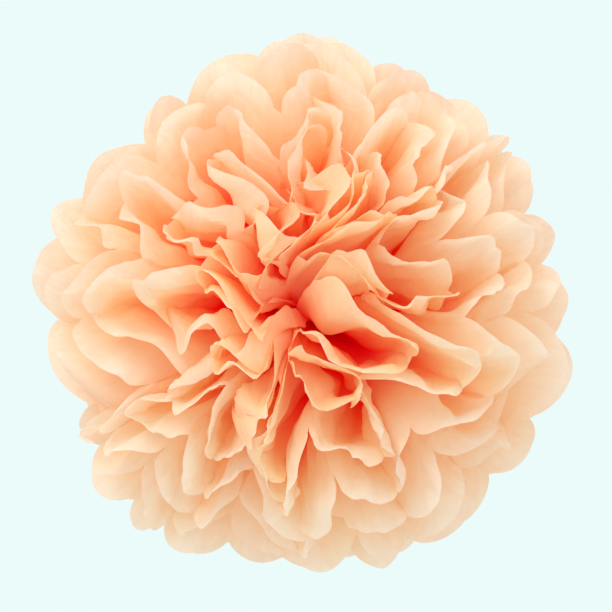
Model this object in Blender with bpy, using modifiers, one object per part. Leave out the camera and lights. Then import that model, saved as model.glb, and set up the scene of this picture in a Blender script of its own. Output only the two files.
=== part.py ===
"""Tissue paper pom pom: twelve sheets of tissue, pleated together, cut to round petals at both
ends, tied at the waist with a soft wire and pulled apart into a ball.

Frame, in metres: the waist is at the origin. X runs along the folded strip, so each sheet has a
right end (+X) and a left end (-X). Z runs across the pleats, and the wire's twisted tail points
along +Z, which is up when the ball hangs. The layers are stacked along Y: the first sheet is
pulled towards -Y, the front, and the last towards +Y.
"""

import math

import bmesh
import bpy
import numpy as np
from mathutils import Vector

# The paper: half the cut sheet's length is the ball's reach
SHEET_COUNT = 12
SHEET_HALF_LENGTH = 0.1265
PLEAT_COUNT = 12
PLEAT_WIDTH = 0.036
PAPER_THICKNESS = 0.0004
SCALLOP_DEPTH = 0.015

# The tied waist
SHEET_CLEARANCE = 0.0004
WAIST_WIDTH = 0.016
WIRE_DIAMETER = 0.0010
WIRE_CLEARANCE = 0.0005
WIRE_INNER_BEND = 0.0005
STRAND_CLEARANCE = 0.0003
TAIL_LENGTH = 0.016
TAIL_TURNS = 2.0

# How the layers are pulled apart
MIDDLE_ELEVATION = math.radians(78.0)
SEAM_ELEVATION = math.radians(71.5)
SEAM_HALF_GAP = 0.0006
BEND_LENGTH = 0.008
STRAY_START = 0.030
OPEN_LENGTH = 0.105
LEAST_PLEAT_HEIGHT = 0.010
SETTLE_DEPTH = 0.0045
RUFFLE_DEPTH = 0.0037
RUFFLE_LENGTH = 0.058
RUFFLE_FULL = 0.090

# How the middle petals of each half are pressed together
PRESS_START = 0.030
LEAN_DEPTH = 0.006
LEAN_LENGTH = 0.090
LEAN_PHASE = 0.8
SLIP_DEPTH = 0.015
SLIP_WIDTH = 0.007
SLIP_RADIUS = 0.060
TIP_START = 0.060
TIP_RADIUS = 0.045
TIP_LEAN = (-0.014, 0.012)

# Where the creases of a right and a left end point, in degrees from the strip's axis towards +Z:
# the notches of the photographed ball's outline
RIGHT_CREASES = (-90, -75, -58, -45, -27, -7, 10, 24, 38, 50, 62, 74, 90)
LEFT_CREASES = (-90, -74, -60, -48, -33, -18, -4, 17, 29, 41, 59, 75, 90)

# How unevenly a hand pulls them. Closing draws an outer sheet's end (left -1, right 1) over the
# pole: degrees at the middle of the end, and degrees more towards +Z
PULL_SEED = 157
AZIMUTH_JITTER = math.radians(2.0)
LIFT_JITTER = math.radians(2.0)
BOW_JITTER = math.radians(4.0)
HEIGHT_JITTER = 0.10
SWAY_JITTER = 0.0020
SKEW_SHARE = 0.27
MOST_SKEW = 0.0065
SKEW_DRIFT = 0.25
TIP_FLARE = 0.0100
FLARE_START = 0.55
CUP_START = 0.060
CUP_RANGE = (-0.0015, 0.0045)
CLOSING = {(0, -1): (5.0, 5.0), (0, 1): (1.0, -3.5), (1, -1): (2.0, 1.0), (1, 1): (1.0, -1.0)}
SEAM_TURN = math.radians(4.0)

# How finely the shapes are drawn: cross lines as shares of the half sheet, and arc steps
CROSS_LINE_SHARES = (0.22, 0.49, 0.78)
ARC_STEPS = 4
CORNER_STEPS = 3
STEPS_PER_TURN = 8

SHEET_PITCH = PAPER_THICKNESS + SHEET_CLEARANCE
STACK_HALF_HEIGHT = (SHEET_COUNT * SHEET_PITCH - SHEET_CLEARANCE) / 2
WAIST_HALF_LENGTH = WIRE_DIAMETER / 2 + WIRE_CLEARANCE
WIRE_CORNER_RADIUS = WIRE_INNER_BEND + WIRE_DIAMETER / 2
TWIST_RADIUS = (WIRE_DIAMETER + STRAND_CLEARANCE) / 2
SHEET_WIDTH = PLEAT_COUNT * PLEAT_WIDTH
CROSS_LINES = [share * SHEET_HALF_LENGTH for share in CROSS_LINE_SHARES]
FRONT = Vector((0.0, -1.0, 0.0))


def ramp(t):
    """0 to 1 with level ends."""
    t = min(max(t, 0.0), 1.0)
    return t * t * (3.0 - 2.0 * t)


def bend_start(sheet):
    """Inner layers run level a little further out, so that no layer cuts the one it leaves."""
    from_outside = min(sheet, SHEET_COUNT - 1 - sheet)
    return WAIST_HALF_LENGTH + from_outside * SHEET_PITCH


def front_share(sheet):
    """How far a layer is pulled out of the middle plane: 1 is the front sheet, -1 the back one."""
    return 1.0 - 2.0 * sheet / (SHEET_COUNT - 1)


def seam_turns(sheet):
    """How far the two ends' meeting line is turned at the bottom and at the top of a layer."""
    return np.random.default_rng(7 * PULL_SEED + sheet).uniform(-SEAM_TURN, SEAM_TURN, 2)


def crease_pulls(sheet, end):
    """Where each crease of a sheet end points, how far it is lifted and bowed out of its layer and
    swayed along it, and how high it stands; and how far each pleat is cupped."""
    chance = np.random.default_rng(PULL_SEED + 2 * sheet + (end > 0))
    lines = np.arange(PLEAT_COUNT + 1)
    even = np.radians(-90.0 + 180.0 / PLEAT_COUNT * lines)
    row = RIGHT_CREASES if end > 0 else LEFT_CREASES
    azimuth = np.radians(np.interp(lines / PLEAT_COUNT * (len(row) - 1), range(len(row)), row))
    azimuth[1:-1] += chance.uniform(-AZIMUTH_JITTER, AZIMUTH_JITTER, PLEAT_COUNT - 1)
    bottom_turn, top_turn = seam_turns(sheet)
    azimuth += end * top_turn * np.clip(even / (math.pi / 2), 0.0, 1.0) ** 2
    azimuth += end * bottom_turn * np.clip(-even / (math.pi / 2), 0.0, 1.0) ** 2
    freedom = 0.4 + 0.6 * math.cos(MIDDLE_ELEVATION * front_share(sheet))
    lift = chance.uniform(-LIFT_JITTER, LIFT_JITTER, lines.size)
    lift *= freedom
    bow = freedom * chance.uniform(-BOW_JITTER, BOW_JITTER, lines.size)
    height = 1.0 + chance.uniform(-HEIGHT_JITTER, HEIGHT_JITTER, lines.size)
    from_outside = min(sheet, SHEET_COUNT - 1 - sheet)
    closing, tilt = CLOSING.get((from_outside, end), (0.0, 0.0))
    lift += np.sign(front_share(sheet)) * np.radians(closing + tilt * np.sin(even)) * np.cos(even)
    skew = np.sin(2.2 * even + SKEW_DRIFT * sheet + 2.0 * end)
    skew += 0.6 * np.sin(5.0 * even - SKEW_DRIFT * sheet + 1.0 + end)
    rim_span = math.pi / PLEAT_COUNT * SHEET_HALF_LENGTH
    rim_span *= math.cos((MIDDLE_ELEVATION + SEAM_ELEVATION) / 2 * front_share(sheet))
    sway = min(SKEW_SHARE * rim_span, MOST_SKEW) * skew * np.where(lines % 2 == 0, -1.0, 1.0)
    sway += freedom * chance.uniform(-SWAY_JITTER, SWAY_JITTER, lines.size)
    sway *= np.sqrt(np.abs(np.cos(even)))
    cup = chance.uniform(*CUP_RANGE, PLEAT_COUNT)
    return {
        "azimuth": azimuth,
        "lift": lift,
        "bow": bow,
        "height": height,
        "sway": sway,
        "cup": cup,
        "seam": (math.tan(bottom_turn), math.tan(top_turn)),
    }


def layer_ray(sheet, azimuth, end):
    """Unit vector down the middle of a layer's pleats. The layers stand steeper at the middle of
    each end than at the seam, where the right end meets the left one."""
    share = front_share(sheet)
    x = end * math.cos(MIDDLE_ELEVATION * share) * math.cos(azimuth)
    z = math.cos(SEAM_ELEVATION * share) * math.sin(azimuth)
    forward = math.copysign(math.sqrt(max(1.0 - x**2 - z**2, 0.0)), share)
    return Vector((x, 0.0, z)) + FRONT * forward


def layer_axes(sheet, azimuth, end):
    """The layer's ray there, the unit vector along the layer, and the one square to both, on the
    layer's front side."""
    turn = 1e-3
    ray = layer_ray(sheet, azimuth, end)
    along = layer_ray(sheet, azimuth + turn, end) - layer_ray(sheet, azimuth - turn, end)
    up = ray.cross(along).normalized()
    if up.dot(FRONT) < 0:
        up = -up
    return ray, (along - ray * along.dot(ray)).normalized(), up


def pleat_span(sheet, reach):
    """How far a pleat reaches round its layer."""
    elevation = (MIDDLE_ELEVATION + SEAM_ELEVATION) / 2 * front_share(sheet)
    return math.pi / PLEAT_COUNT * reach * math.cos(elevation)


def pleat_height(sheet, reach):
    """Crease to crease height of the zigzag, where the pleat spans what its fan leaves it."""
    width = PLEAT_WIDTH * ramp(reach / OPEN_LENGTH)
    least = LEAST_PLEAT_HEIGHT * ramp(reach / OPEN_LENGTH)
    return math.sqrt(max(width**2 - pleat_span(sheet, reach) ** 2, least**2))


def own_side(sheet, end, pulls, point):
    """Keeps a point of a sheet end clear of the line where the two ends meet."""
    slope = math.cos(MIDDLE_ELEVATION * front_share(sheet))
    slope /= math.cos(SEAM_ELEVATION * front_share(sheet))
    bottom, top = pulls["seam"]
    seam = -slope * (top * max(point.z, 0.0) + bottom * max(-point.z, 0.0))
    point.x = seam + end * max(end * (point.x - seam), SEAM_HALF_GAP)
    return point


def crease_point(sheet, end, line, pulls, distance):
    """The point of a crease at this distance from the waist's middle."""
    across = (line / PLEAT_COUNT - 0.5) * WAIST_WIDTH
    level = ((SHEET_COUNT - 1) / 2 - sheet) * SHEET_PITCH
    waist = Vector((end * min(distance, bend_start(sheet)), 0.0, across)) + FRONT * level
    reach = distance - bend_start(sheet)
    if reach <= 0:
        return waist
    open_share = distance / SHEET_HALF_LENGTH
    stray = ramp((distance - STRAY_START) / (OPEN_LENGTH - STRAY_START))
    azimuth = -math.pi / 2 + math.pi * line / PLEAT_COUNT
    azimuth += stray * (pulls["azimuth"][line] - azimuth)
    lift = stray * (pulls["lift"][line] + pulls["bow"][line] * (open_share**2 - 0.5))
    ray, side, up = layer_axes(sheet, azimuth, end)
    target = (ray * math.cos(lift) + up * math.sin(lift)) * SHEET_HALF_LENGTH
    target = own_side(sheet, end, pulls, target)
    level_on = Vector((end * math.cos(azimuth), 0.0, 0.0))
    outward = (target - waist - level_on * BEND_LENGTH / 2).normalized()
    bent = min(reach, BEND_LENGTH)
    forward = bent - bent**2 / (2 * BEND_LENGTH)
    away = bent**2 / (2 * BEND_LENGTH) + max(reach - BEND_LENGTH, 0.0)
    rise = pleat_height(sheet, distance) / 2 * pulls["height"][line] * (1 if line % 2 else -1)
    flare = ramp((open_share - FLARE_START) / (1.0 - FLARE_START))
    rise -= TIP_FLARE * front_share(sheet) * flare
    upward = up * math.cos(lift) - ray * math.sin(lift)
    point = waist + level_on * forward + outward * away + upward * rise
    return own_side(sheet, end, pulls, point + side * pulls["sway"][line] * stray**2)


def folded(sheet, pulls, x, y):
    """Where a point of the flat sheet ends up in the ball."""
    end = 1 if x > 0 else -1
    place = min(max(y / PLEAT_WIDTH, 0.0), PLEAT_COUNT)
    pleat = min(int(place + 1e-6), PLEAT_COUNT - 1)
    share = place - pleat
    first = crease_point(sheet, end, pleat, pulls[end], abs(x))
    second = crease_point(sheet, end, pleat + 1, pulls[end], abs(x))
    azimuths = pulls[end]["azimuth"]
    ray = layer_ray(sheet, azimuths[pleat] + (azimuths[pleat + 1] - azimuths[pleat]) * share, end)
    square = ray.cross(second - first).normalized()
    if square.dot(FRONT) < 0:
        square = -square
    bulge = math.sin(math.pi * share) * ramp((abs(x) - CUP_START) / CUP_START)
    return first.lerp(second, share) + square * pulls[end]["cup"][pleat] * bulge


def settled(point):
    """Where a point of the ball ends up when the layers settle unevenly. The shift is smooth and
    grows from nothing at the waist, so that layers keep their order."""
    u, v, w = (point / SHEET_HALF_LENGTH * 2 * math.pi).to_tuple()
    shift = Vector(
        (
            math.sin(0.90 * w + 0.25 * v - 2.7),
            math.sin(0.70 * u + 0.60 * w + 0.6),
            math.sin(0.85 * u - 0.45 * v + 1.9),
        )
    )
    x, y, z = (point / RUFFLE_LENGTH * 2 * math.pi).to_tuple()
    ruffle = Vector(
        (
            math.sin(z + 0.35 * y + 0.8),
            0.5 * math.sin(0.7 * (x + z) + 2.0),
            math.sin(x - 0.30 * y + 1.3),
        )
    )
    ruffle *= ramp(abs(point.y) / RUFFLE_FULL)
    moved = shift * SETTLE_DEPTH + ruffle * RUFFLE_DEPTH
    return pressed(point + moved * ramp(point.length / SHEET_HALF_LENGTH))


def near_pole(x, z, radius):
    return math.exp(-(x * x + z * z) / radius**2)


def pressed(point):
    """Where a point ends up when the middle petals of each half are pressed together by hand: the
    two ends slip along their seam, sway, and lean to one side. Each step moves neighbouring points
    by nearly the same amount, so layers keep their order."""
    x, y, z = point
    deep = ramp((abs(y) - PRESS_START) / (SHEET_HALF_LENGTH - PRESS_START))
    z += SLIP_DEPTH * math.tanh(x / SLIP_WIDTH) * deep * near_pole(x, z, SLIP_RADIUS)
    x -= LEAN_DEPTH * deep * math.sin(z / LEAN_LENGTH * 2 * math.pi + LEAN_PHASE)
    tips = ramp((abs(y) - TIP_START) / (SHEET_HALF_LENGTH - TIP_START))
    tips *= near_pole(x, z, TIP_RADIUS)
    return Vector((x + TIP_LEAN[0] * tips, y, z + TIP_LEAN[1] * tips))


def flat_sheet():
    """One sheet as it is cut: X along the strip, Y across the pleats, petals at both ends."""
    mesh = bmesh.new()
    notch = SHEET_HALF_LENGTH - SCALLOP_DEPTH
    right_edge = []
    for pleat in range(PLEAT_COUNT):
        for step in range(ARC_STEPS):
            angle = math.pi * step / ARC_STEPS
            x = notch + SCALLOP_DEPTH * math.sin(angle)
            y = PLEAT_WIDTH * (pleat + (1 - math.cos(angle)) / 2)
            right_edge.append((x, y))
    right_edge.append((notch, SHEET_WIDTH))
    left_edge = [(-x, y) for x, y in reversed(right_edge)]
    corners = [mesh.verts.new((x, y, 0.0)) for x, y in right_edge + left_edge]
    mesh.faces.new(corners)
    return mesh


def crease(mesh, place, normal, faces=None):
    """Adds a straight line of edges across the flat sheet, or across some of its faces."""
    chosen = faces if faces is not None else mesh.faces[:]
    edges = {edge for face in chosen for edge in face.edges}
    verts = {vert for face in chosen for vert in face.verts}
    bmesh.ops.bisect_plane(
        mesh,
        geom=[*verts, *edges, *chosen],
        plane_co=place,
        plane_no=normal,
        dist=1e-7,
    )


def brace(face):
    """Divides a four-sided facet from its inner valley corner to its outer mountain corner."""
    reaches = [abs(vert.co.x) for vert in face.verts]
    lines = [round(vert.co.y / PLEAT_WIDTH, 3) for vert in face.verts]
    ends = list(zip(reaches, lines, face.verts))
    inner = [vert for reach, line, vert in ends if reach < max(reaches) - 1e-6 and line % 2 == 0]
    outer = [vert for reach, line, vert in ends if reach > min(reaches) + 1e-6 and line % 2 == 1]
    if len(ends) == 4 and len(inner) == 1 and len(outer) == 1:
        bmesh.utils.face_split(face, inner[0], outer[0])


def tissue_sheet(sheet):
    """One sheet, creased flat, then folded and pulled into its layer of the ball."""
    mesh = flat_sheet()
    for line in range(1, PLEAT_COUNT):
        crease(mesh, (0, line * PLEAT_WIDTH, 0), (0, 1, 0))
    for distance in (bend_start(sheet), *CROSS_LINES):
        for end in (-1, 1):
            crease(mesh, (end * distance, 0, 0), (1, 0, 0))
    for pleat in range(PLEAT_COUNT):
        middle = (pleat + 0.5) * PLEAT_WIDTH
        petals = [
            face
            for face in mesh.faces
            if abs(face.calc_center_median().x) > CROSS_LINES[-1]
            and abs(face.calc_center_median().y - middle) < PLEAT_WIDTH / 2
        ]
        crease(mesh, (0, middle, 0), (0, 1, 0), petals)
    for face in mesh.faces[:]:
        brace(face)
    bmesh.ops.triangulate(mesh, faces=mesh.faces[:])
    pulls = {end: crease_pulls(sheet, end) for end in (-1, 1)}
    for vert in mesh.verts:
        vert.co = settled(folded(sheet, pulls, vert.co.x, vert.co.y))
    data = bpy.data.meshes.new(f"tissue_sheet_{sheet + 1:02d}")
    mesh.to_mesh(data)
    mesh.free()
    return data


def arc(middle_y, middle_z, start, sweep):
    """Points of a rounded corner of the wire, in the plane across the waist."""
    angles = [start + sweep * step / CORNER_STEPS for step in range(CORNER_STEPS + 1)]
    radius = WIRE_CORNER_RADIUS
    return [
        Vector((0.0, middle_y + radius * math.cos(angle), middle_z + radius * math.sin(angle)))
        for angle in angles
    ]


def wire_half():
    """The wire from below the waist, round its back side and up one strand of the twisted tail."""
    gap = WIRE_CLEARANCE + WIRE_DIAMETER / 2
    side = STACK_HALF_HEIGHT + gap
    top = WAIST_WIDTH / 2 + gap
    radius = WIRE_CORNER_RADIUS
    quarter = math.pi / 2
    points = arc(side - radius, radius - top, -quarter, quarter)
    points += arc(side - radius, top - radius, 0.0, quarter)
    points += arc(TWIST_RADIUS + radius, top + radius, -quarter, -quarter)
    steps = round(TAIL_TURNS * STEPS_PER_TURN)
    for step in range(1, steps + 1):
        turn = 2 * math.pi * TAIL_TURNS * step / steps
        swing = Vector((math.sin(turn), math.cos(turn), 0.0)) * TWIST_RADIUS
        points.append(swing + Vector((0.0, 0.0, top + radius + TAIL_LENGTH * step / steps)))
    return points


def wire_tie():
    """The soft wire: a loop round the folded stack, closed by twisting its two ends together."""
    back = wire_half()
    front = [Vector((-point.x, -point.y, point.z)) for point in back]
    path = list(reversed(front)) + back
    curve = bpy.data.curves.new("wire_tie", "CURVE")
    curve.dimensions = "3D"
    curve.bevel_depth = WIRE_DIAMETER / 2
    curve.bevel_resolution = 2
    curve.use_fill_caps = True
    line = curve.splines.new("POLY")
    line.points.add(len(path) - 1)
    for place, point in zip(line.points, path):
        place.co = (*point, 1.0)
    return curve


def surface(name, colour, roughness, metallic):
    material = bpy.data.materials.new(name)
    material.use_nodes = True
    shader = material.node_tree.nodes["Principled BSDF"]
    shader.inputs["Base Color"].default_value = (*colour, 1.0)
    shader.inputs["Roughness"].default_value = roughness
    shader.inputs["Metallic"].default_value = metallic
    return material


def main():
    for thing in list(bpy.data.objects):
        bpy.data.objects.remove(thing)
    ball = bpy.data.collections.new("tissue_pom_pom")
    bpy.context.scene.collection.children.link(ball)
    for sheet in range(SHEET_COUNT):
        data = tissue_sheet(sheet)
        data.materials.append(surface(f"tissue_{sheet + 1:02d}", (0.94, 0.47, 0.24), 0.85, 0.0))
        layer = bpy.data.objects.new(data.name, data)
        ball.objects.link(layer)
        solidify = layer.modifiers.new("paper", "SOLIDIFY")
        solidify.thickness = PAPER_THICKNESS
        solidify.offset = 0.0
    tie = wire_tie()
    tie.materials.append(surface("soft_wire", (0.55, 0.55, 0.56), 0.4, 1.0))
    ball.objects.link(bpy.data.objects.new(tie.name, tie))


main()
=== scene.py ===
"""The looks of a tissue paper pom pom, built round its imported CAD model.

Frame, in metres: the tied waist is at the origin, X runs along the folded strip, Z across the
pleats, and the front half of the ball faces -Y, where the camera stands. Every layer of the ball
is one sheet of tissue with a right end (+X) and a left end (-X) of twelve petals each.
"""

import math

import bmesh
import bpy
import numpy as np
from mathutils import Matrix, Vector


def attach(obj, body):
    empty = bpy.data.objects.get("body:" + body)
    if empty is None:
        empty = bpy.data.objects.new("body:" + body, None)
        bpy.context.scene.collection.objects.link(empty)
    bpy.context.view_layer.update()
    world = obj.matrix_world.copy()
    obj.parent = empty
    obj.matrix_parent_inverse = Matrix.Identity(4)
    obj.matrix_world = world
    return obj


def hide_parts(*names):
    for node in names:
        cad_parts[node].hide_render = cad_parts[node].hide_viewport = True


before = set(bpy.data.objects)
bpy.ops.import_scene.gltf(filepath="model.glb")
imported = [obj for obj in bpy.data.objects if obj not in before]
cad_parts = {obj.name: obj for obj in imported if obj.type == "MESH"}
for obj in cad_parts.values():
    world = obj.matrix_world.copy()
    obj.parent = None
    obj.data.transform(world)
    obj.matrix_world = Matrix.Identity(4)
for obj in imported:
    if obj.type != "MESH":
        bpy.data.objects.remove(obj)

# The paper and its folds, as in the CAD source
SHEET_COUNT = 12
SHEET_HALF_LENGTH = 0.1265
PLEAT_COUNT = 12
PLEAT_WIDTH = 0.036
SCALLOP_DEPTH = 0.015
SHEET_PITCH = 0.0008
WAIST_WIDTH = 0.016
MIDDLE_ELEVATION = math.radians(78.0)
SEAM_ELEVATION = math.radians(71.5)
STRAY_START = 0.030
OPEN_LENGTH = 0.105
LEAST_PLEAT_HEIGHT = 0.010
SETTLE_DEPTH = 0.0045
RUFFLE_DEPTH = 0.0037
RUFFLE_LENGTH = 0.058
RUFFLE_FULL = 0.090

# How the middle petals of each half are pressed together. The turn about the pole is drawn only here
PRESS_START = 0.030
POLE_TURN = math.radians(-35.0)
POLE_RADIUS = 0.040
LEAN_DEPTH = 0.006
LEAN_LENGTH = 0.090
LEAN_PHASE = 0.8
SLIP_DEPTH = 0.015
SLIP_WIDTH = 0.007
SLIP_RADIUS = 0.060
TIP_START = 0.060
TIP_RADIUS = 0.045
TIP_LEAN = (-0.014, 0.012)

# Where the creases of a right and a left end point, in degrees from the strip's axis towards +Z
RIGHT_CREASES = (-90, -75, -58, -45, -27, -7, 10, 24, 38, 50, 62, 74, 90)
LEFT_CREASES = (-90, -74, -60, -48, -33, -18, -4, 17, 29, 41, 59, 75, 90)

# How unevenly the layers were pulled apart by hand, as in the CAD source
PULL_SEED = 157
AZIMUTH_JITTER = math.radians(2.0)
LIFT_JITTER = math.radians(2.0)
BOW_JITTER = math.radians(4.0)
HEIGHT_JITTER = 0.10
SWAY_JITTER = 0.0020
SKEW_SHARE = 0.27
MOST_SKEW = 0.0065
SKEW_DRIFT = 0.25
TIP_FLARE = 0.0100
FLARE_START = 0.55
CUP_START = 0.060
CUP_RANGE = (-0.0015, 0.0045)
CLOSING = {(0, -1): (5.0, 5.0), (0, 1): (1.0, -3.5), (1, -1): (2.0, 1.0), (1, 1): (1.0, -1.0)}
SEAM_TURN = math.radians(4.0)

# What only the soft paper shows
SEAM_OVERLAP = math.radians(3.5)
SEAM_LIFT = 0.0035
EDGE_CURL = 0.0055
CURL_WIDTH = 0.009
TIP_JITTER = 0.0012
PLEAT_BULGE = 0.0042
FULL_BULGE_HEIGHT = 0.030
SMALLEST_WALL = 1e-9
LEAST_SOFTNESS = 0.15
SOFT_START = 0.020
SOFT_LENGTH = 0.085
CRUMPLE_SLOPE = 0.10
CRUMPLE_LENGTHS = (0.010, 0.013, 0.017, 0.022, 0.029, 0.038)
CRUMPLE_TURN = math.radians(50.0)
CRUMPLE_WANDER = 1.5
CRUMPLE_WANDER_PACE = 0.37
CRUMPLE_SHARPNESS = 0.97
POLE_CRUMPLE = 1.6
EAR_SHARE = 0.40
EAR_DEPTH = (0.008, 0.014)
EAR_TURN = math.radians(55.0)
EAR_FOLD = (math.radians(35.0), math.radians(110.0))
EAR_BEND = 0.0065
WAIST_LENGTH = 0.030

# How finely a sheet is drawn: columns across each pleat, and rows from the waist to the rim, which
# an exponent below 1 draws towards the rim
PLEAT_COLUMNS = 22
SHEET_ROWS = 44
ROW_EXPONENT = 0.85
SHARP_ANGLE = math.radians(38.0)

# The tissue's peach colour along the paper, from the waist (0) to the rim (1), with painted shade
# that deepens it to red towards the waist, standing in for light trapped deep between the folds, and
# painted light that pales it towards the rim, standing in for light let through the thin tips. On
# the outermost sheets, whose petals are the middle ones of each half, the painted shade reaches
# further
DYE_AND_PAINTED_LIGHT = (
    (0.44, (1.0, 0.07, 0.08, 1)),
    (0.59, (1.0, 0.54, 0.29, 1)),
    (0.76, (1.0, 0.82, 0.51, 1)),
    (1.0, (0.97, 0.92, 0.79, 1)),
)
# Painted shade: the outermost sheets' colour is moved towards the red end of the ramp, for the light
# trapped among the crowded middle petals of each half
POLE_PAINTED_SHADE = 0.16
POLE_PAINTED_SHADE_POWER = 6

# A painted highlight along the paper's cut edge, for the light that catches the thin rim, and the
# paper's clouds, streaks and wrinkles, the last three as repeats per metre of paper
PAINTED_EDGE_HIGHLIGHT = (1.0, 0.86, 0.72, 1)
PAINTED_EDGE_HIGHLIGHT_WIDTH = 0.0009
PAINTED_EDGE_HIGHLIGHT_SHARE = 0.8
LIGHT_THROUGH = 0.45
DYE_CLOUDS = (70.0, 70.0, 1.0)
DYE_STREAKS = (450.0, 40.0, 1.0)
STREAK_SHARE = 0.4
DARKER_DYE = (1.0, 0.90, 0.85, 1)
DARKER_DYE_NOISE = 0.30
FULL_DYE_NOISE = 0.66
WRINKLES = (75.0, 75.0, 1.0)
WRINKLE_BENDS = (45.0, 45.0, 1.0)
WRINKLE_BEND_DEPTH = (1.6, 1.6, 0.0)
WRINKLE_WIDTH = 0.30
WRINKLE_DEPTH = 0.0016
WRINKLE_STRENGTH = 0.22

# The photograph's framing: the ball's width and the picture's width, in pixels
BALL_PIXELS = 530.0
PICTURE_PIXELS = 612.0
CAMERA_PLACE = (0.0008, -1.3, 0.0017)
SENSOR_WIDTH = 36.0

BACKGROUND = (0.83, 0.965, 0.955, 1)
SKY_STRENGTH = 1.03
KEY_PLACE = (-0.5, -1.0, 0.9)
KEY_POWER = 6.6
KEY_SIZE = 0.8
PAPER_BOUNCES = 36
MOST_BOUNCES = 40
FLOOR_DROP = 0.35
FLOOR_RADIUS = 1.8
FLOOR_COLOUR = (0.76, 0.85, 0.84, 1)


def ramp(t):
    """0 to 1 with level ends."""
    t = np.clip(t, 0.0, 1.0)
    return t * t * (3.0 - 2.0 * t)


def front_share(sheet):
    """How far a layer is pulled out of the middle plane: 1 is the front sheet, -1 the back one."""
    return 1.0 - 2.0 * sheet / (SHEET_COUNT - 1)


def layer_ray(share, azimuth, end):
    """Unit vectors down the middle of a layer's pleats."""
    x = end * np.cos(MIDDLE_ELEVATION * share) * np.cos(azimuth)
    z = np.cos(SEAM_ELEVATION * share) * np.sin(azimuth)
    forward = np.sign(share) * np.sqrt(np.clip(1.0 - x**2 - z**2, 0.0, 1.0))
    return np.stack([x, -forward, z], axis=-1)


def unit(vectors):
    return vectors / np.linalg.norm(vectors, axis=-1, keepdims=True)


def layer_axes(share, azimuth, end):
    """Each point's ray, the unit vector along the layer, and the one square to it, to the front."""
    small_turn = 1e-3
    ray = layer_ray(share, azimuth, end)
    along = layer_ray(share, azimuth + small_turn, end)
    along = along - layer_ray(share, azimuth - small_turn, end)
    up = unit(np.cross(ray, along))
    up *= np.where(up[..., 1:2] < 0, 1.0, -1.0)
    side = unit(along - ray * (along * ray).sum(-1, keepdims=True))
    return ray, side, up


def crease_pulls(sheet, end):
    """Where each crease of a sheet end points, how far it is lifted and bowed out of its layer and
    swayed along it, and how high it stands; and how far each pleat is cupped."""
    chance = np.random.default_rng(PULL_SEED + 2 * sheet + (end > 0))
    lines = np.arange(PLEAT_COUNT + 1)
    even = np.radians(-90.0 + 180.0 / PLEAT_COUNT * lines)
    azimuth = np.radians(np.array(RIGHT_CREASES if end > 0 else LEFT_CREASES, float))
    azimuth[1:-1] += chance.uniform(-AZIMUTH_JITTER, AZIMUTH_JITTER, PLEAT_COUNT - 1)
    bottom_turn, top_turn = seam_turns(sheet)
    azimuth += end * top_turn * np.clip(even / (math.pi / 2), 0.0, 1.0) ** 2
    azimuth += end * bottom_turn * np.clip(-even / (math.pi / 2), 0.0, 1.0) ** 2
    freedom = 0.4 + 0.6 * math.cos(MIDDLE_ELEVATION * front_share(sheet))
    lift = chance.uniform(-LIFT_JITTER, LIFT_JITTER, lines.size)
    lift *= freedom
    bow = freedom * chance.uniform(-BOW_JITTER, BOW_JITTER, lines.size)
    height = 1.0 + chance.uniform(-HEIGHT_JITTER, HEIGHT_JITTER, lines.size)
    from_outside = min(sheet, SHEET_COUNT - 1 - sheet)
    closing, tilt = CLOSING.get((from_outside, end), (0.0, 0.0))
    lift += np.sign(front_share(sheet)) * np.radians(closing + tilt * np.sin(even)) * np.cos(even)
    skew = np.sin(2.2 * even + SKEW_DRIFT * sheet + 2.0 * end)
    skew += 0.6 * np.sin(5.0 * even - SKEW_DRIFT * sheet + 1.0 + end)
    rim_span = math.pi / PLEAT_COUNT * SHEET_HALF_LENGTH
    rim_span *= math.cos((MIDDLE_ELEVATION + SEAM_ELEVATION) / 2 * front_share(sheet))
    sway = min(SKEW_SHARE * rim_span, MOST_SKEW) * skew * np.where(lines % 2 == 0, -1.0, 1.0)
    sway += freedom * chance.uniform(-SWAY_JITTER, SWAY_JITTER, lines.size)
    sway *= np.sqrt(np.abs(np.cos(even)))
    cup = chance.uniform(*CUP_RANGE, PLEAT_COUNT)
    return azimuth, lift, bow, height, sway, cup


def seam_turns(sheet):
    """How far the two ends' meeting line is turned at the bottom and at the top of a layer."""
    return np.random.default_rng(7 * PULL_SEED + sheet).uniform(-SEAM_TURN, SEAM_TURN, 2)


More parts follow.
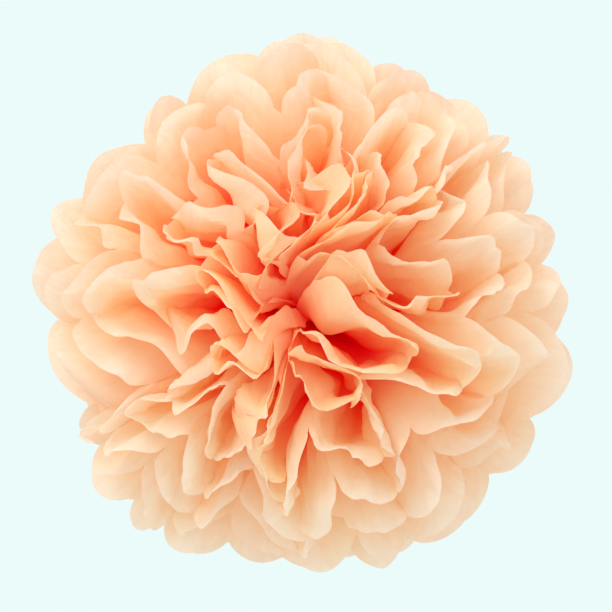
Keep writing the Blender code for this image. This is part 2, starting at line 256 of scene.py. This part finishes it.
def sheet_end(sheet, end):
    """Points of one end of a folded sheet as a grid of rows and columns, with each point's place
    along the strip and its distance from the waist and from the rim along the paper."""
    azimuths, lift, bow, height_factor, sway, cup = crease_pulls(sheet, end)
    chance = np.random.default_rng(3 * PULL_SEED + 2 * sheet + (end > 0))
    share = front_share(sheet)
    curl = EDGE_CURL * chance.uniform(-1.0, 1.0, PLEAT_COUNT) ** 3
    softness = chance.uniform(LEAST_SOFTNESS, 1.0, PLEAT_COUNT + 1)
    tip = chance.uniform(-TIP_JITTER, TIP_JITTER, PLEAT_COUNT)
    over = end * np.random.default_rng(5 * PULL_SEED + sheet).choice((-1.0, 1.0), 2)
    azimuths[0] -= SEAM_OVERLAP
    azimuths[-1] += SEAM_OVERLAP
    seam_lift = np.zeros(PLEAT_COUNT + 1)
    seam_lift[0], seam_lift[-1] = over * SEAM_LIFT

    # Columns stand closer together at the creases, rows closer together at the rim
    inside = (1.0 - np.cos(math.pi * np.arange(PLEAT_COLUMNS) / PLEAT_COLUMNS)) / 2
    columns = np.append((np.arange(PLEAT_COUNT)[:, None] + inside).ravel(), PLEAT_COUNT)
    pleat = np.minimum(columns.astype(int), PLEAT_COUNT - 1)
    across = columns - pleat
    arc = np.sqrt(np.clip(1.0 - (2.0 * across - 1.0) ** 2, 0.0, 1.0))
    rim = SHEET_HALF_LENGTH - SCALLOP_DEPTH + (SCALLOP_DEPTH + tip[pleat]) * arc
    rows = (np.arange(1, SHEET_ROWS + 1) / SHEET_ROWS) ** ROW_EXPONENT
    reach = rows[:, None] * rim[None, :]
    across = np.broadcast_to(across, reach.shape)
    place = np.broadcast_to(columns * PLEAT_WIDTH, reach.shape)

    def between(values):
        """A value given per crease, at each point of the grid."""
        first, second = values[pleat][None, :], values[pleat + 1][None, :]
        return first + (second - first) * across

    open_share = reach / SHEET_HALF_LENGTH
    stray = ramp((reach - STRAY_START) / (OPEN_LENGTH - STRAY_START))
    soft = ramp((reach - SOFT_START) / SOFT_LENGTH) * between(softness)
    even = np.radians(-90.0 + 180.0 / PLEAT_COUNT * np.arange(PLEAT_COUNT + 1))
    azimuth = between(even) * (1.0 - stray) + between(azimuths) * stray
    ray, side, up = layer_axes(share, azimuth, end)

    # The zigzag across the layer, with creases that open into soft folds towards the rim
    elevation = (MIDDLE_ELEVATION + SEAM_ELEVATION) / 2 * share
    span = math.pi / PLEAT_COUNT * reach * math.cos(elevation)
    width = PLEAT_WIDTH * np.sqrt(ramp(reach / OPEN_LENGTH))
    least = LEAST_PLEAT_HEIGHT * ramp(reach / OPEN_LENGTH)
    height = np.sqrt(np.maximum(width**2 - span**2, least**2))
    fold = (1.0 - soft) * across + soft * (1.0 - np.cos(math.pi * across)) / 2
    way = np.where(pleat % 2 == 0, -1.0, 1.0)[None, :]
    first = way * height / 2 * height_factor[pleat][None, :]
    second = -way * height / 2 * height_factor[pleat + 1][None, :]
    rise = first + (second - first) * fold
    drift = PLEAT_BULGE * soft * np.sin(2.0 * math.pi * across)
    drift *= np.clip(height / FULL_BULGE_HEIGHT, 0.0, 1.0)
    drift += between(sway) * stray**2
    rise -= TIP_FLARE * share * ramp((open_share - FLARE_START) / (1.0 - FLARE_START))
    rise += between(seam_lift) * stray

    # Each petal is cupped, and its rim curls
    wall = np.hypot(span, second - first) + SMALLEST_WALL
    cupped = cup[pleat][None, :] * np.sin(math.pi * across) * ramp((reach - CUP_START) / CUP_START)
    near_rim = np.clip((reach - rim[None, :] + CURL_WIDTH) / CURL_WIDTH, 0.0, 1.0) ** 2
    cupped += curl[pleat][None, :] * near_rim * np.sin(math.pi * across)
    crumpled = 1.0 + POLE_CRUMPLE * share**2
    cupped += crumple(place, reach, chance) * stray * crumpled
    ear_share = EAR_SHARE * (1.0 - (1.0 - abs(share)) ** 2)
    ear_ends = SHEET_HALF_LENGTH + tip
    sideways, further, out = folded_tips(across, reach, pleat, ear_ends, ear_share, chance)
    cupped += out
    drift += span / wall * sideways - (second - first) / wall * cupped
    rise += (second - first) / wall * sideways + span / wall * cupped

    lifted = between(lift) * stray + between(bow) * (open_share**2 - 0.5) * stray
    outward = ray * np.cos(lifted)[..., None] + up * np.sin(lifted)[..., None]
    upward = up * np.cos(lifted)[..., None] - ray * np.sin(lifted)[..., None]
    points = outward * (reach + further)[..., None]
    points += side * drift[..., None] + upward * rise[..., None]

    gathered = 1.0 - ramp(reach / WAIST_LENGTH)
    points[..., 2] += (columns[None, :] / PLEAT_COUNT - 0.5) * WAIST_WIDTH * gathered
    points[..., 1] -= ((SHEET_COUNT - 1) / 2 - sheet) * SHEET_PITCH * gathered
    return points, place, reach, rim[None, :] - reach


def crumple(across, along, chance):
    """Crossing folds of different lengths, most of them along the petals: how far the dents and
    ridges of handled tissue stand out of it."""
    dents = 0.0
    for length in CRUMPLE_LENGTHS:
        turn = chance.uniform(-CRUMPLE_TURN, CRUMPLE_TURN)
        phase = chance.uniform(0.0, 2.0 * math.pi)
        wave = (across * math.cos(turn) + along * math.sin(turn)) / length * 2.0 * math.pi
        wave = wave + phase + CRUMPLE_WANDER * np.sin(CRUMPLE_WANDER_PACE * wave + 2.0 * phase)
        zigzag = np.arcsin(CRUMPLE_SHARPNESS * np.sin(wave))
        dents = dents + CRUMPLE_SLOPE * length / 4.0 * zigzag * 2.0 / math.pi
    return dents


def folded_tips(across, reach, pleat, tip_reach, share, chance):
    """A share of the petals have their tip folded over a slanting line: how far that moves each
    point across the petal, along it and out of it."""
    folds = chance.uniform(0.0, 1.0, PLEAT_COUNT) < share
    depth = chance.uniform(*EAR_DEPTH, PLEAT_COUNT)
    turn = chance.uniform(-EAR_TURN, EAR_TURN, PLEAT_COUNT)
    fold = chance.uniform(*EAR_FOLD, PLEAT_COUNT) * chance.choice((-1.0, 1.0), PLEAT_COUNT)
    sine, cosine = np.sin(turn)[pleat][None, :], np.cos(turn)[pleat][None, :]
    past_fold = reach - (tip_reach - depth)[pleat][None, :]
    slant = sine * (across - 0.5) * PLEAT_WIDTH + cosine * past_fold
    over = np.clip(slant, 0.0, None) * folds[pleat][None, :]
    angle = fold[pleat][None, :]
    curved = np.minimum(over, EAR_BEND)
    radius = EAR_BEND / angle
    inward = radius * np.sin(curved / radius) + (over - curved) * np.cos(angle) - over
    outward = radius * (1.0 - np.cos(curved / radius)) + (over - curved) * np.sin(angle)
    return inward * sine, inward * cosine, outward


def settled(points):
    """The smooth shift by which the layers settle unevenly, as in the CAD source."""
    u, v, w = np.moveaxis(points / SHEET_HALF_LENGTH * 2 * math.pi, -1, 0)
    shift = np.stack(
        [
            np.sin(0.90 * w + 0.25 * v - 2.7),
            np.sin(0.70 * u + 0.60 * w + 0.6),
            np.sin(0.85 * u - 0.45 * v + 1.9),
        ],
        axis=-1,
    )
    x, y, z = np.moveaxis(points / RUFFLE_LENGTH * 2 * math.pi, -1, 0)
    ruffle = np.stack(
        [
            np.sin(z + 0.35 * y + 0.8),
            0.5 * np.sin(0.7 * (x + z) + 2.0),
            np.sin(x - 0.30 * y + 1.3),
        ],
        axis=-1,
    )
    length = np.linalg.norm(points, axis=-1, keepdims=True)
    ruffle *= ramp(np.abs(points[..., 1:2]) / RUFFLE_FULL)
    moved = shift * SETTLE_DEPTH + ruffle * RUFFLE_DEPTH
    return pressed(points + moved * ramp(length / SHEET_HALF_LENGTH))


def near_pole(x, z, radius):
    return np.exp(-(x**2 + z**2) / radius**2)


def pressed(points):
    """Where points end up when the middle petals of each half are pressed together by hand: the two
    ends slip along their seam, sway, turn about the ball's pole, and lean to one side. All but the
    turn is as in the CAD source."""
    x, y, z = np.moveaxis(points, -1, 0)
    deep = ramp((np.abs(y) - PRESS_START) / (SHEET_HALF_LENGTH - PRESS_START))
    z = z + SLIP_DEPTH * np.tanh(x / SLIP_WIDTH) * deep * near_pole(x, z, SLIP_RADIUS)
    x = x - LEAN_DEPTH * deep * np.sin(z / LEAN_LENGTH * 2.0 * math.pi + LEAN_PHASE)
    turn = np.sign(-y) * POLE_TURN * near_pole(x, z, POLE_RADIUS) * deep
    x, z = x * np.cos(turn) - z * np.sin(turn), x * np.sin(turn) + z * np.cos(turn)
    tips = ramp((np.abs(y) - TIP_START) / (SHEET_HALF_LENGTH - TIP_START))
    near = near_pole(x, z, TIP_RADIUS)
    x = x + TIP_LEAN[0] * near * tips
    z = z + TIP_LEAN[1] * near * tips
    return np.stack([x, y, z], axis=-1)


def grid_faces(rows, columns, first, flip):
    """Four-sided faces of a grid of points that is numbered row by row."""
    number = np.arange(rows * columns).reshape(rows, columns) + first
    corners = [number[:-1, :-1], number[:-1, 1:], number[1:, 1:], number[1:, :-1]]
    faces = np.stack(corners, axis=-1).reshape(-1, 4)
    return faces[:, ::-1] if flip else faces


def tissue_layer(sheet):
    """One sheet of the ball, both ends of it. Its attributes hold each point's place on the paper,
    its share of the way to the rim, which sets the painted shade and painted light of its colour and
    is lowered on the outermost sheets by a painted pole shade, and its distance from the rim."""
    points, faces, papers, painted_shade_reaches, rims = [], [], [], [], []
    first = 0
    # Painted shade: the outermost sheets take the ramp's redder, darker colours further out towards
    # the rim
    pole_painted_shade = POLE_PAINTED_SHADE * front_share(sheet) ** POLE_PAINTED_SHADE_POWER
    for end in (-1, 1):
        grid, place, reach, to_rim = sheet_end(sheet, end)
        rows, columns = reach.shape
        roll_place = place + sheet * PLEAT_COUNT * PLEAT_WIDTH
        flat = np.stack([roll_place, end * reach, np.zeros_like(reach)], axis=-1)
        papers.append(flat.reshape(-1, 3))
        points.append(settled(grid).reshape(-1, 3))
        faces.append(grid_faces(rows, columns, first, end > 0))
        painted_shade_reaches.append(reach.ravel() / SHEET_HALF_LENGTH - pole_painted_shade)
        rims.append(to_rim.ravel())
        first += rows * columns
    mesh = bpy.data.meshes.new(f"tissue_layer_{sheet + 1:02d}")
    mesh.from_pydata(np.concatenate(points).tolist(), [], np.concatenate(faces).tolist())
    mesh.polygons.foreach_set("use_smooth", [True] * len(mesh.polygons))
    mesh.set_sharp_from_angle(angle=SHARP_ANGLE)
    for name, values in (("reach", painted_shade_reaches), ("to_rim", rims)):
        attribute = mesh.attributes.new(name, "FLOAT", "POINT")
        attribute.data.foreach_set("value", np.concatenate(values).astype(np.float32))
    paper = mesh.attributes.new("paper", "FLOAT_VECTOR", "POINT")
    paper.data.foreach_set("vector", np.concatenate(papers).astype(np.float32).ravel())
    layer = bpy.data.objects.new(mesh.name, mesh)
    bpy.context.scene.collection.objects.link(layer)
    return layer


def paper_place(tree, stretch):
    """Each point's place on the flat sheet, stretched for a texture."""
    paper = tree.nodes.new("ShaderNodeAttribute")
    paper.attribute_name = "paper"
    scaled = tree.nodes.new("ShaderNodeMapping")
    scaled.inputs["Scale"].default_value = stretch
    tree.links.new(paper.outputs["Vector"], scaled.inputs["Vector"])
    return scaled.outputs["Vector"]


def noise(tree, stretch, detail):
    texture = tree.nodes.new("ShaderNodeTexNoise")
    texture.noise_dimensions = "2D"
    texture.inputs["Scale"].default_value = 1.0
    texture.inputs["Detail"].default_value = detail
    texture.inputs["Roughness"].default_value = 0.6
    tree.links.new(paper_place(tree, stretch), texture.inputs["Vector"])
    return texture.outputs["Fac"]


def paper_shade(tree):
    """Uneven colouring of the tissue: soft clouds, and streaks that run down the petals."""
    clouds = noise(tree, DYE_CLOUDS, 2.0)
    streaks = noise(tree, DYE_STREAKS, 2.0)
    mixed = tree.nodes.new("ShaderNodeMix")
    mixed.inputs["Factor"].default_value = STREAK_SHARE
    tree.links.new(clouds, mixed.inputs["A"])
    tree.links.new(streaks, mixed.inputs["B"])
    shades = tree.nodes.new("ShaderNodeValToRGB")
    darker, full = shades.color_ramp.elements
    darker.position, darker.color = DARKER_DYE_NOISE, DARKER_DYE
    full.position, full.color = FULL_DYE_NOISE, (1.0, 1.0, 1.0, 1)
    tree.links.new(mixed.outputs["Result"], shades.inputs["Fac"])
    return shades.outputs["Color"]


def paper_wrinkles(tree):
    """Fine sharp wrinkles of handled tissue."""
    wander = noise(tree, WRINKLE_BENDS, 1.0)
    shifted = tree.nodes.new("ShaderNodeVectorMath")
    shifted.operation = "MULTIPLY_ADD"
    shifted.inputs[1].default_value = WRINKLE_BEND_DEPTH
    cells = tree.nodes.new("ShaderNodeTexVoronoi")
    cells.voronoi_dimensions = "2D"
    cells.feature = "DISTANCE_TO_EDGE"
    cells.inputs["Scale"].default_value = 1.0
    tree.links.new(wander, shifted.inputs[0])
    tree.links.new(paper_place(tree, WRINKLES), shifted.inputs[2])
    tree.links.new(shifted.outputs["Vector"], cells.inputs["Vector"])
    ridge = tree.nodes.new("ShaderNodeMapRange")
    ridge.inputs["From Max"].default_value = WRINKLE_WIDTH
    tree.links.new(cells.outputs["Distance"], ridge.inputs["Value"])
    bump = tree.nodes.new("ShaderNodeBump")
    bump.inputs["Strength"].default_value = WRINKLE_STRENGTH
    bump.inputs["Distance"].default_value = WRINKLE_DEPTH
    tree.links.new(ridge.outputs["Result"], bump.inputs["Height"])
    return bump.outputs["Normal"]


def paper_dye_and_painted_light(tree):
    """The tissue's peach colour along a sheet, with painted shade that deepens it to red at the
    waist, painted light that pales it at the rim, and a painted highlight along the cut edge.
    """
    reach = tree.nodes.new("ShaderNodeAttribute")
    reach.attribute_name = "reach"
    # Painted shade and light: deep red towards the waist stands in for shade deep among the folds,
    # near white at the rim for light let through the thin tips
    dye_and_painted_light_ramp = tree.nodes.new("ShaderNodeValToRGB")
    stops = dye_and_painted_light_ramp.color_ramp.elements
    stops[0].position, stops[0].color = DYE_AND_PAINTED_LIGHT[0]
    stops[1].position, stops[1].color = DYE_AND_PAINTED_LIGHT[-1]
    for place, colour in DYE_AND_PAINTED_LIGHT[1:-1]:
        stops.new(place).color = colour
    to_rim = tree.nodes.new("ShaderNodeAttribute")
    to_rim.attribute_name = "to_rim"
    # Painted highlight: a paler band along the cut edge, fading out within about a millimetre of it,
    # for the light caught by the thin rim
    edge = tree.nodes.new("ShaderNodeMapRange")
    edge.inputs["From Min"].default_value = 0.0
    edge.inputs["From Max"].default_value = PAINTED_EDGE_HIGHLIGHT_WIDTH
    edge.inputs["To Min"].default_value = PAINTED_EDGE_HIGHLIGHT_SHARE
    edge.inputs["To Max"].default_value = 0.0
    pale = tree.nodes.new("ShaderNodeMix")
    pale.data_type = "RGBA"
    pale.inputs[7].default_value = PAINTED_EDGE_HIGHLIGHT
    tree.links.new(reach.outputs["Fac"], dye_and_painted_light_ramp.inputs["Fac"])
    tree.links.new(to_rim.outputs["Fac"], edge.inputs["Value"])
    tree.links.new(edge.outputs["Result"], pale.inputs[0])
    tree.links.new(dye_and_painted_light_ramp.outputs["Color"], pale.inputs[6])
    return pale.outputs[2]


def tissue_material():
    """Thin matte paper that lets light through."""
    material = bpy.data.materials.new("peach_tissue")
    material.use_nodes = True
    tree = material.node_tree
    tree.nodes.clear()
    out = tree.nodes.new("ShaderNodeOutputMaterial")
    front = tree.nodes.new("ShaderNodeBsdfPrincipled")
    through = tree.nodes.new("ShaderNodeBsdfTranslucent")
    mix = tree.nodes.new("ShaderNodeMixShader")
    mix.inputs["Fac"].default_value = LIGHT_THROUGH
    front.inputs["Roughness"].default_value = 0.85
    front.inputs["Specular IOR Level"].default_value = 0.15
    tint = tree.nodes.new("ShaderNodeMix")
    tint.data_type = "RGBA"
    tint.blend_type = "MULTIPLY"
    tint.inputs[0].default_value = 1.0
    tree.links.new(paper_dye_and_painted_light(tree), tint.inputs[6])
    tree.links.new(paper_shade(tree), tint.inputs[7])
    tree.links.new(tint.outputs[2], front.inputs["Base Color"])
    tree.links.new(tint.outputs[2], through.inputs["Color"])
    wrinkles = paper_wrinkles(tree)
    tree.links.new(wrinkles, front.inputs["Normal"])
    tree.links.new(wrinkles, through.inputs["Normal"])
    tree.links.new(front.outputs[0], mix.inputs[1])
    tree.links.new(through.outputs[0], mix.inputs[2])
    tree.links.new(mix.outputs[0], out.inputs["Surface"])
    return material


def wire_material():
    """Bare steel wire with a fine grain."""
    material = bpy.data.materials.new("drawn_wire")
    material.use_nodes = True
    tree = material.node_tree
    shader = tree.nodes["Principled BSDF"]
    shader.inputs["Metallic"].default_value = 1.0
    grain = tree.nodes.new("ShaderNodeTexNoise")
    grain.inputs["Scale"].default_value = 900.0
    shades = tree.nodes.new("ShaderNodeValToRGB")
    shades.color_ramp.elements[0].color = (0.42, 0.42, 0.43, 1)
    shades.color_ramp.elements[1].color = (0.64, 0.64, 0.65, 1)
    tree.links.new(grain.outputs["Fac"], shades.inputs["Fac"])
    tree.links.new(shades.outputs["Color"], shader.inputs["Base Color"])
    shader.inputs["Roughness"].default_value = 0.4
    return material


def key_lamp():
    """A large lamp, up to the left of the camera, that points at the ball."""
    light = bpy.data.lights.new("key", "AREA")
    light.energy = KEY_POWER
    light.size = KEY_SIZE
    lamp = bpy.data.objects.new("key", light)
    lamp.location = KEY_PLACE
    lamp.rotation_euler = (-Vector(KEY_PLACE)).to_track_quat("-Z", "Y").to_euler()
    bpy.context.scene.collection.objects.link(lamp)


def seen_directly(tree):
    """1 for a ray from the camera, off a glossy surface or through a clear one; 0 for the light that
    falls on the object, which thin paper also lets through."""
    path = tree.nodes.new("ShaderNodeLightPath")
    clear = tree.nodes.new("ShaderNodeMath")
    clear.operation = "SUBTRACT"
    clear.use_clamp = True
    tree.links.new(path.outputs["Is Transmission Ray"], clear.inputs[0])
    tree.links.new(path.outputs["Is Diffuse Ray"], clear.inputs[1])
    seen = clear.outputs["Value"]
    for kind in ("Is Glossy Ray", "Is Camera Ray"):
        either = tree.nodes.new("ShaderNodeMath")
        either.operation = "MAXIMUM"
        tree.links.new(seen, either.inputs[0])
        tree.links.new(path.outputs[kind], either.inputs[1])
        seen = either.outputs["Value"]
    return seen


def view_camera():
    """The photograph's camera, level with the ball and far enough away to be nearly flat."""
    scene = bpy.context.scene
    camera = bpy.data.cameras.new("camera")
    camera.sensor_width = SENSOR_WIDTH
    frame_width = 2.0 * SHEET_HALF_LENGTH * PICTURE_PIXELS / BALL_PIXELS
    camera.lens = SENSOR_WIDTH * -CAMERA_PLACE[1] / frame_width
    viewer = bpy.data.objects.new("camera", camera)
    viewer.location = CAMERA_PLACE
    viewer.rotation_euler = (math.pi / 2, 0.0, 0.0)
    scene.collection.objects.link(viewer)
    scene.camera = viewer


def studio():
    """Even white light from all sides, with the photograph's pale background where it is seen."""
    scene = bpy.context.scene
    world = bpy.data.worlds.new("studio")
    scene.world = world
    world.use_nodes = True
    tree = world.node_tree
    light = tree.nodes["Background"]
    light.inputs["Color"].default_value = (1.0, 1.0, 1.0, 1)
    light.inputs["Strength"].default_value = SKY_STRENGTH
    seen = tree.nodes.new("ShaderNodeBackground")
    seen.inputs["Color"].default_value = BACKGROUND
    mix = tree.nodes.new("ShaderNodeMixShader")
    tree.links.new(seen_directly(tree), mix.inputs["Fac"])
    tree.links.new(light.outputs["Background"], mix.inputs[1])
    tree.links.new(seen.outputs["Background"], mix.inputs[2])
    tree.links.new(mix.outputs[0], tree.nodes["World Output"].inputs["Surface"])
    scene.view_settings.view_transform = "Standard"
    scene.cycles.max_bounces = MOST_BOUNCES
    scene.cycles.diffuse_bounces = PAPER_BOUNCES
    scene.cycles.transmission_bounces = PAPER_BOUNCES


def floor():
    """A pale round floor under the hanging ball, below the camera's view."""
    mesh = bpy.data.meshes.new("floor")
    disc = bmesh.new()
    bmesh.ops.create_circle(disc, cap_ends=True, radius=FLOOR_RADIUS, segments=96)
    disc.to_mesh(mesh)
    disc.free()
    ground = bpy.data.objects.new("floor", mesh)
    ground.location.z = -FLOOR_DROP
    bpy.context.scene.collection.objects.link(ground)
    material = bpy.data.materials.new("pale_floor")
    material.use_nodes = True
    shader = material.node_tree.nodes["Principled BSDF"]
    shader.inputs["Base Color"].default_value = FLOOR_COLOUR
    shader.inputs["Roughness"].default_value = 0.9
    mesh.materials.append(material)


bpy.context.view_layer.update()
tissue = tissue_material()
for sheet in range(SHEET_COUNT):
    layer = tissue_layer(sheet)
    layer.data.materials.append(tissue)
    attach(layer, "root")
    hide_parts(f"tissue_sheet_{sheet + 1:02d}")
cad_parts["wire_tie"].material_slots[0].material = wire_material()
floor()
view_camera()
studio()
key_lamp()
